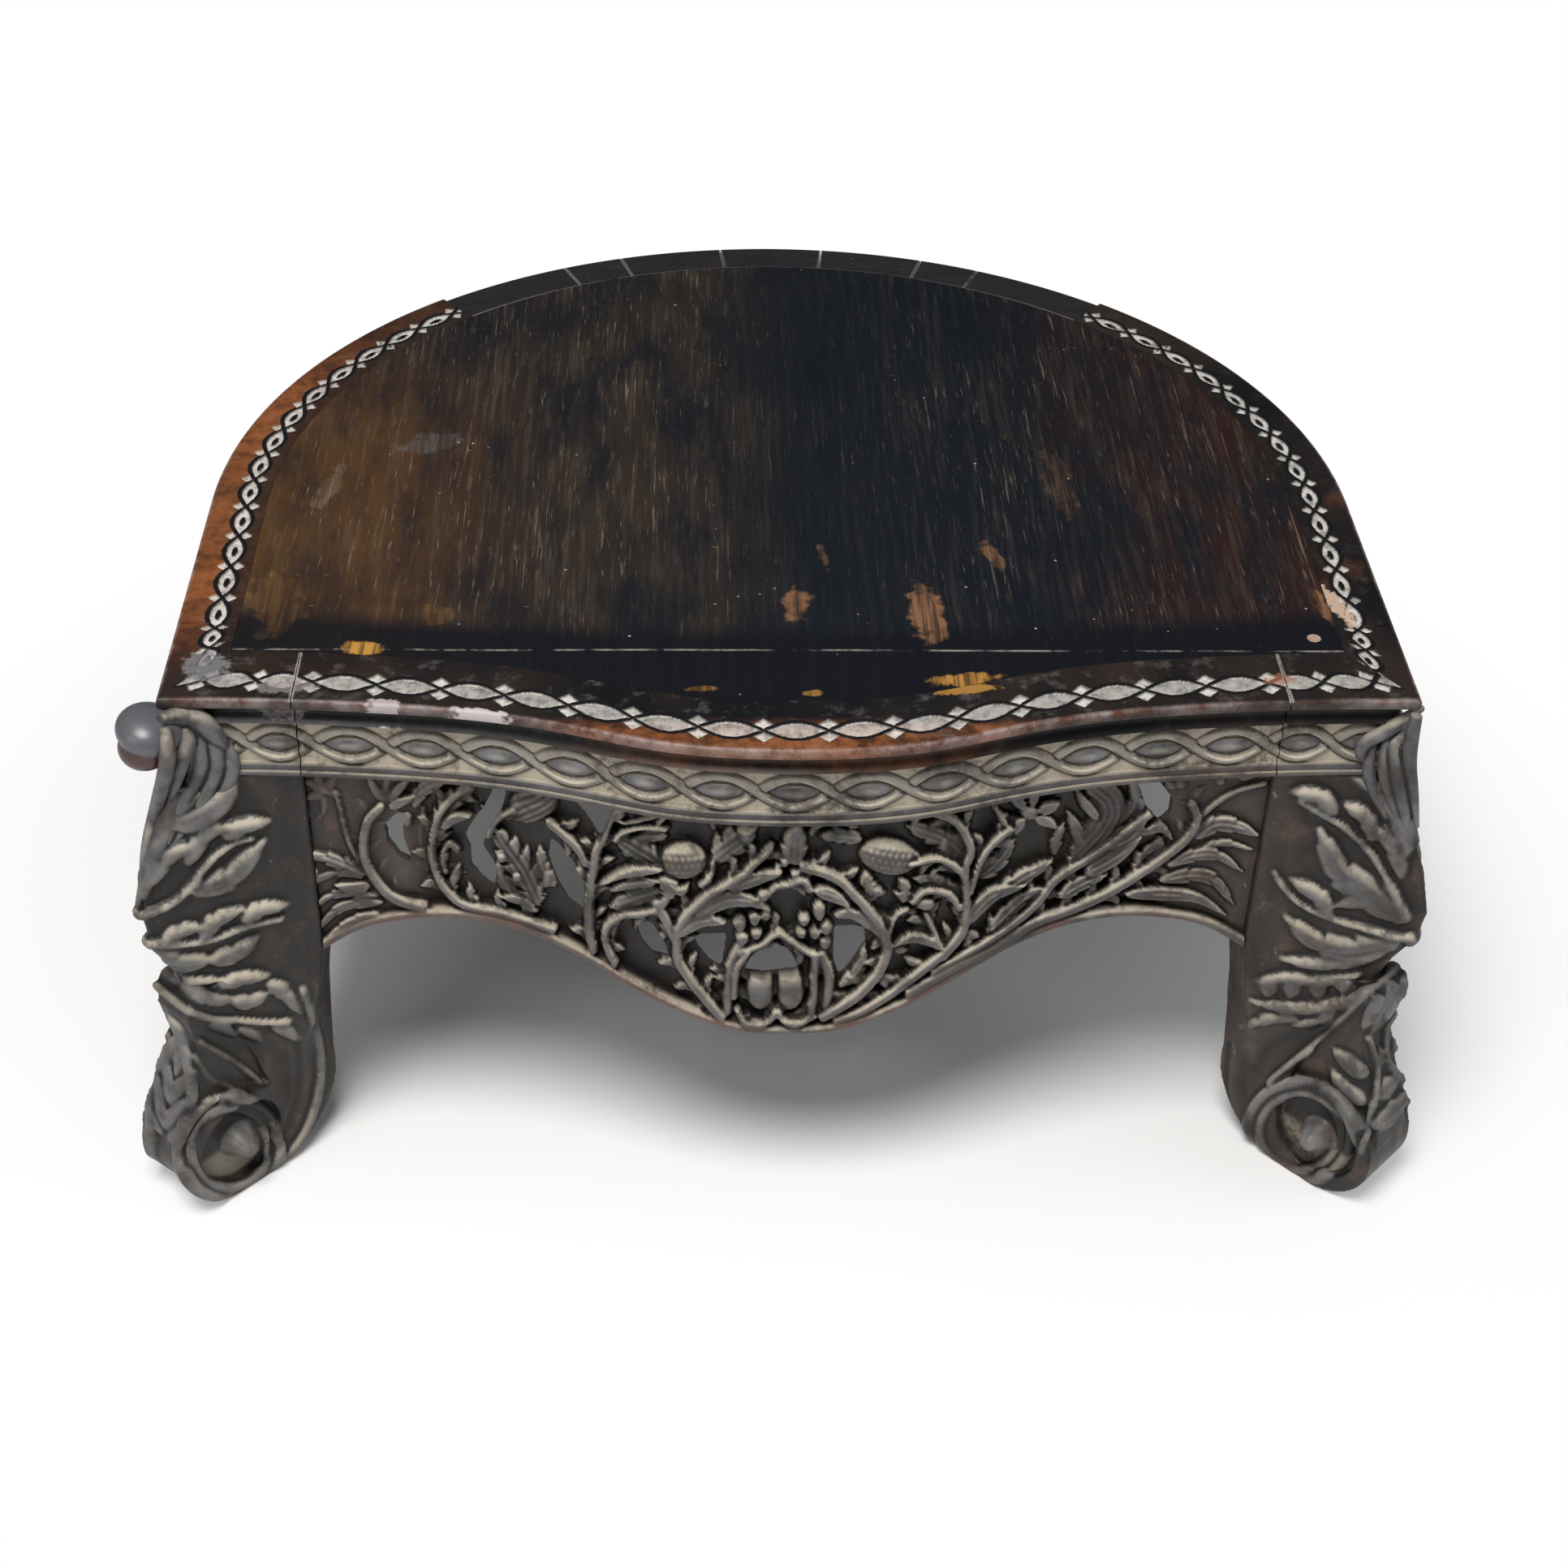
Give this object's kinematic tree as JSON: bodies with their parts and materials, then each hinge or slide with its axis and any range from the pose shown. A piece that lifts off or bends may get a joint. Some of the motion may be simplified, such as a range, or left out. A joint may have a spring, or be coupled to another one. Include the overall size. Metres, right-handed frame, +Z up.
{
  "type": "carved low stool",
  "caption": "Low D-shaped stool with a bowed front, boarded seat, interlaced rim and frieze, pierced foliage aprons and scroll-footed legs.",
  "frame": {"origin": "on the floor, under the middle of the stool's box", "axes": "+Z up, the straight bowed front faces -Y, +X to the sitter's right when seen from the front"},
  "size_m": [0.6906, 0.527, 0.32],
  "materials": {
    "carved_wood": "dark carved hardwood, waxed high spots, dusty recesses, red-brown worn edges",
    "seat_wood": "dark polished boards with fine open grain and worn brown areas",
    "inner_wood": "plain unpolished hardwood",
    "peg_wood": "pale end-grain peg",
    "screw_iron": "dark rusted iron"
  },
  "bodies": {
    "root": {"leg_front_left": "carved_wood", "leg_front_right": "carved_wood", "leg_rear_left": "carved_wood", "leg_rear_right": "carved_wood", "rim_front": "carved_wood", "rim_side_left": "carved_wood", "rim_side_right": "carved_wood", "rim_rear_block_1": "carved_wood", "rim_rear_block_2": "carved_wood", "rim_rear_block_3": "carved_wood", "rim_rear_block_4": "carved_wood", "rim_rear_block_5": "carved_wood", "rim_rear_block_6": "carved_wood", "rim_rear_block_7": "carved_wood", "rail_front": "carved_wood", "rail_side_left": "carved_wood", "rail_side_right": "carved_wood", "rail_rear": "carved_wood", "apron_front": "carved_wood", "apron_side_left": "carved_wood", "apron_side_right": "carved_wood", "apron_rear": "carved_wood", "seat_board_1": "seat_wood", "seat_board_2": "seat_wood", "seat_board_3": "seat_wood", "seat_board_4": "seat_wood", "seat_board_5": "seat_wood", "board_tongues": "inner_wood", "batten_front": "inner_wood", "batten_rear": "inner_wood", "glue_blocks_front_left": "inner_wood", "glue_blocks_front_right": "inner_wood", "glue_blocks_rear_left": "inner_wood", "glue_blocks_rear_right": "inner_wood", "dowels_front_left": "inner_wood", "dowels_front_right": "inner_wood", "dowels_rear_left": "inner_wood", "dowels_rear_right": "inner_wood", "rim_pins": "inner_wood", "seat_pegs": "peg_wood", "batten_screws": "screw_iron"}
  },
  "joints": []
}
